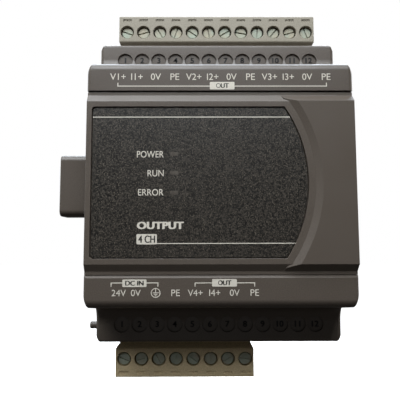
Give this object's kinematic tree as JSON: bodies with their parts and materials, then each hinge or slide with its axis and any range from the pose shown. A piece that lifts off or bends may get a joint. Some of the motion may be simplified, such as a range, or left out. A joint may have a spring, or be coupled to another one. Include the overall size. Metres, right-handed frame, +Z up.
{
  "type": "plc module",
  "caption": "Rail-mounted analogue output expansion module with a stepped housing, pull-off screw terminal blocks above and below, and a side bus connector.",
  "frame": {"origin": "centre of the flat seat that rests on the front of the 35 mm rail", "axes": "+Y out of the back, through the rail; +Z up the module; +X along the rail, to the right when looked at from the front"},
  "size_m": [0.0802, 0.078, 0.1098],
  "materials": {
    "housing_plastic": "fine moulded grain, satin",
    "cover_plastic": "fine moulded grain, slightly smoother than the housing",
    "label_film": "speckled dark printed film",
    "light_guide": "clear moulded light guide",
    "circuit_board": "green solder mask",
    "black_plastic": "plain moulded",
    "terminal_plastic": "cream moulded, satin",
    "screw_steel": "plated, lightly worn",
    "capacitor_sleeve": "shrink sleeve"
  },
  "bodies": {
    "housing": {"rear_base": "housing_plastic", "front_shell": "housing_plastic", "centre_cover": "cover_plastic", "label_film": "label_film", "light_pipe_power": "light_guide", "light_pipe_run": "light_guide", "light_pipe_error": "light_guide", "led_power": "light_guide", "led_run": "light_guide", "led_error": "light_guide", "display_board": "circuit_board", "io_board": "circuit_board", "power_board": "circuit_board", "display_link": "black_plastic", "board_link": "black_plastic", "dac_chip": "black_plastic", "controller_chip": "black_plastic", "power_transformer": "black_plastic", "isolated_converter": "black_plastic", "filter_capacitor_1": "capacitor_sleeve", "filter_capacitor_2": "capacitor_sleeve", "header_12": "terminal_plastic", "header_8": "terminal_plastic", "bus_hood": "housing_plastic", "bus_contacts": "black_plastic", "bus_socket": "black_plastic"},
    "terminal_plug_12": {"terminal_plug_12": "terminal_plastic"},
    "terminal_plug_8": {"terminal_plug_8": "terminal_plastic"},
    "rail_clip": {"rail_clip": "black_plastic"},
    "mounting_tab": {"mounting_tab": "black_plastic"},
    "upper_screw_1": {"upper_screw_1": "screw_steel"},
    "upper_screw_2": {"upper_screw_2": "screw_steel"},
    "upper_screw_3": {"upper_screw_3": "screw_steel"},
    "upper_screw_4": {"upper_screw_4": "screw_steel"},
    "upper_screw_5": {"upper_screw_5": "screw_steel"},
    "upper_screw_6": {"upper_screw_6": "screw_steel"},
    "upper_screw_7": {"upper_screw_7": "screw_steel"},
    "upper_screw_8": {"upper_screw_8": "screw_steel"},
    "upper_screw_9": {"upper_screw_9": "screw_steel"},
    "upper_screw_10": {"upper_screw_10": "screw_steel"},
    "upper_screw_11": {"upper_screw_11": "screw_steel"},
    "upper_screw_12": {"upper_screw_12": "screw_steel"},
    "lower_screw_1": {"lower_screw_1": "screw_steel"},
    "lower_screw_2": {"lower_screw_2": "screw_steel"},
    "lower_screw_3": {"lower_screw_3": "screw_steel"},
    "lower_screw_4": {"lower_screw_4": "screw_steel"},
    "lower_screw_5": {"lower_screw_5": "screw_steel"},
    "lower_screw_6": {"lower_screw_6": "screw_steel"},
    "lower_screw_7": {"lower_screw_7": "screw_steel"},
    "lower_screw_8": {"lower_screw_8": "screw_steel"}
  },
  "joints": [
    {"name": "upper_plug_pull", "type": "slide", "parent": "housing", "child": "terminal_plug_12", "axis": [0, 0, 1], "range_m": [0, 0.012]},
    {"name": "lower_plug_pull", "type": "slide", "parent": "housing", "child": "terminal_plug_8", "axis": [0, 0, -1], "range_m": [0, 0.012]},
    {"name": "rail_clip_slide", "type": "slide", "parent": "housing", "child": "rail_clip", "axis": [0, 0, -1], "range_m": [0, 0.008]},
    {"name": "mounting_tab_slide", "type": "slide", "parent": "housing", "child": "mounting_tab", "axis": [0, 0, 1], "range_m": [0, 0.008]},
    {"name": "upper_screw_1_turn", "type": "hinge", "parent": "terminal_plug_12", "child": "upper_screw_1", "pos_m": [-0.02794, -0.0508, 0.04975], "axis": [0, 1, 0], "range_deg": [0, 2250]},
    {"name": "upper_screw_2_turn", "type": "hinge", "parent": "terminal_plug_12", "child": "upper_screw_2", "pos_m": [-0.02286, -0.0508, 0.04975], "axis": [0, 1, 0], "range_deg": [0, 2250]},
    {"name": "upper_screw_3_turn", "type": "hinge", "parent": "terminal_plug_12", "child": "upper_screw_3", "pos_m": [-0.01778, -0.0508, 0.04975], "axis": [0, 1, 0], "range_deg": [0, 2250]},
    {"name": "upper_screw_4_turn", "type": "hinge", "parent": "terminal_plug_12", "child": "upper_screw_4", "pos_m": [-0.0127, -0.0508, 0.04975], "axis": [0, 1, 0], "range_deg": [0, 2250]},
    {"name": "upper_screw_5_turn", "type": "hinge", "parent": "terminal_plug_12", "child": "upper_screw_5", "pos_m": [-0.00762, -0.0508, 0.04975], "axis": [0, 1, 0], "range_deg": [0, 2250]},
    {"name": "upper_screw_6_turn", "type": "hinge", "parent": "terminal_plug_12", "child": "upper_screw_6", "pos_m": [-0.00254, -0.0508, 0.04975], "axis": [0, 1, 0], "range_deg": [0, 2250]},
    {"name": "upper_screw_7_turn", "type": "hinge", "parent": "terminal_plug_12", "child": "upper_screw_7", "pos_m": [0.00254, -0.0508, 0.04975], "axis": [0, 1, 0], "range_deg": [0, 2250]},
    {"name": "upper_screw_8_turn", "type": "hinge", "parent": "terminal_plug_12", "child": "upper_screw_8", "pos_m": [0.00762, -0.0508, 0.04975], "axis": [0, 1, 0], "range_deg": [0, 2250]},
    {"name": "upper_screw_9_turn", "type": "hinge", "parent": "terminal_plug_12", "child": "upper_screw_9", "pos_m": [0.0127, -0.0508, 0.04975], "axis": [0, 1, 0], "range_deg": [0, 2250]},
    {"name": "upper_screw_10_turn", "type": "hinge", "parent": "terminal_plug_12", "child": "upper_screw_10", "pos_m": [0.01778, -0.0508, 0.04975], "axis": [0, 1, 0], "range_deg": [0, 2250]},
    {"name": "upper_screw_11_turn", "type": "hinge", "parent": "terminal_plug_12", "child": "upper_screw_11", "pos_m": [0.02286, -0.0508, 0.04975], "axis": [0, 1, 0], "range_deg": [0, 2250]},
    {"name": "upper_screw_12_turn", "type": "hinge", "parent": "terminal_plug_12", "child": "upper_screw_12", "pos_m": [0.02794, -0.0508, 0.04975], "axis": [0, 1, 0], "range_deg": [0, 2250]},
    {"name": "lower_screw_1_turn", "type": "hinge", "parent": "terminal_plug_8", "child": "lower_screw_1", "pos_m": [-0.02768, -0.0508, -0.04975], "axis": [0, 1, 0], "range_deg": [0, 2250]},
    {"name": "lower_screw_2_turn", "type": "hinge", "parent": "terminal_plug_8", "child": "lower_screw_2", "pos_m": [-0.0226, -0.0508, -0.04975], "axis": [0, 1, 0], "range_deg": [0, 2250]},
    {"name": "lower_screw_3_turn", "type": "hinge", "parent": "terminal_plug_8", "child": "lower_screw_3", "pos_m": [-0.01752, -0.0508, -0.04975], "axis": [0, 1, 0], "range_deg": [0, 2250]},
    {"name": "lower_screw_4_turn", "type": "hinge", "parent": "terminal_plug_8", "child": "lower_screw_4", "pos_m": [-0.01244, -0.0508, -0.04975], "axis": [0, 1, 0], "range_deg": [0, 2250]},
    {"name": "lower_screw_5_turn", "type": "hinge", "parent": "terminal_plug_8", "child": "lower_screw_5", "pos_m": [-0.00736, -0.0508, -0.04975], "axis": [0, 1, 0], "range_deg": [0, 2250]},
    {"name": "lower_screw_6_turn", "type": "hinge", "parent": "terminal_plug_8", "child": "lower_screw_6", "pos_m": [-0.00228, -0.0508, -0.04975], "axis": [0, 1, 0], "range_deg": [0, 2250]},
    {"name": "lower_screw_7_turn", "type": "hinge", "parent": "terminal_plug_8", "child": "lower_screw_7", "pos_m": [0.0028, -0.0508, -0.04975], "axis": [0, 1, 0], "range_deg": [0, 2250]},
    {"name": "lower_screw_8_turn", "type": "hinge", "parent": "terminal_plug_8", "child": "lower_screw_8", "pos_m": [0.00788, -0.0508, -0.04975], "axis": [0, 1, 0], "range_deg": [0, 2250]}
  ]
}
